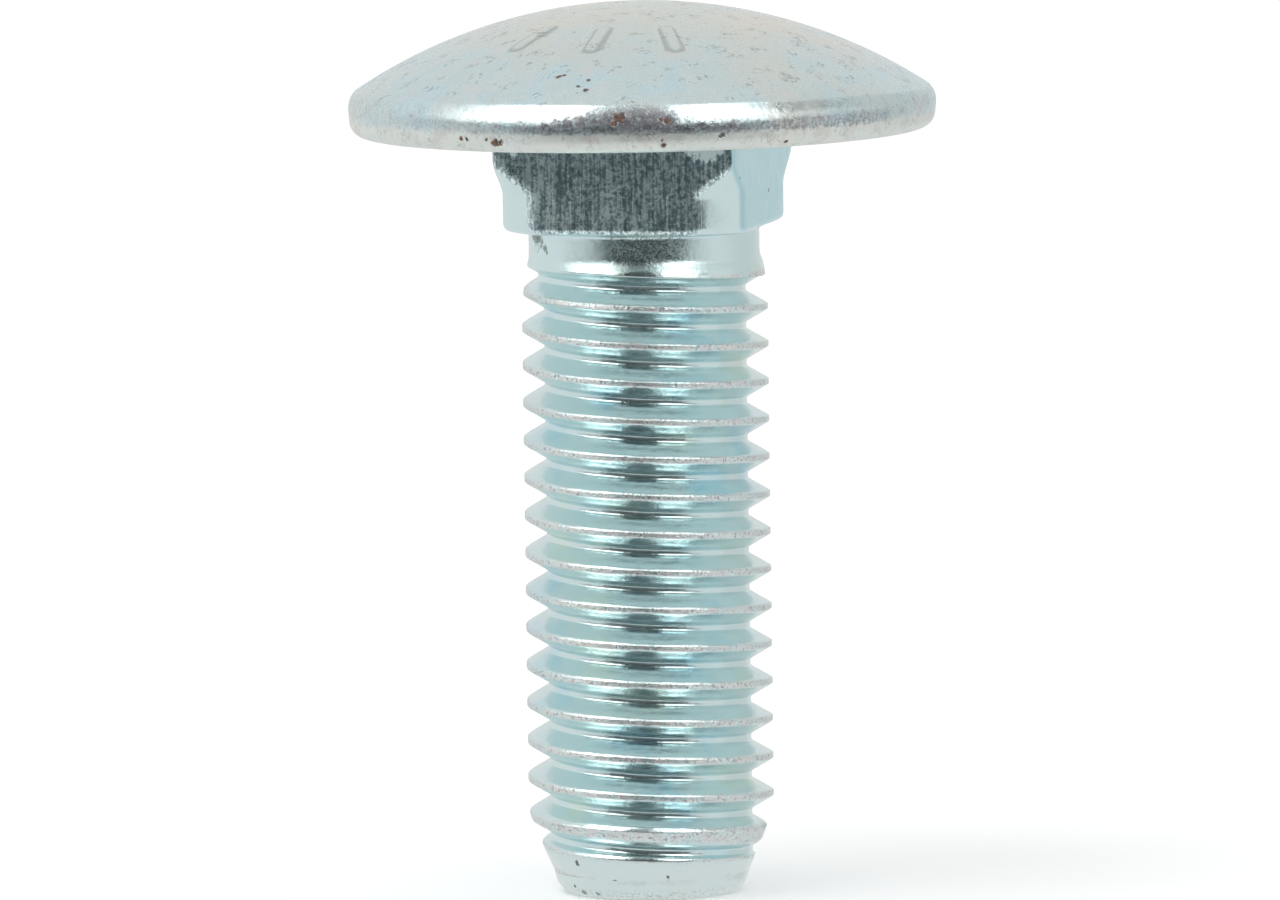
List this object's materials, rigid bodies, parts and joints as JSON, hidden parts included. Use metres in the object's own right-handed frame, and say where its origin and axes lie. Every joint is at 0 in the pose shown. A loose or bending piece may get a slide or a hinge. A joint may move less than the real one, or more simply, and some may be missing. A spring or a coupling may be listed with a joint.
{
  "type": "carriage bolt",
  "caption": "Round-head square-neck bolt with a shallow domed head, a short square neck and a left-hand threaded shank with a chamfered point.",
  "frame": {"origin": "middle of the flat end of the point, on which the bolt stands", "axes": "+Z along the axis of the bolt from the point to the domed head; -Y is the side that the picture shows"},
  "size_m": [0.0234, 0.0234, 0.0356],
  "materials": {
    "zinc": "bright zinc plate with a pale blue passivation, satin on the forged dome and worn on the thread crests"
  },
  "bodies": {
    "root": {"carriage_bolt": "zinc"}
  },
  "joints": []
}
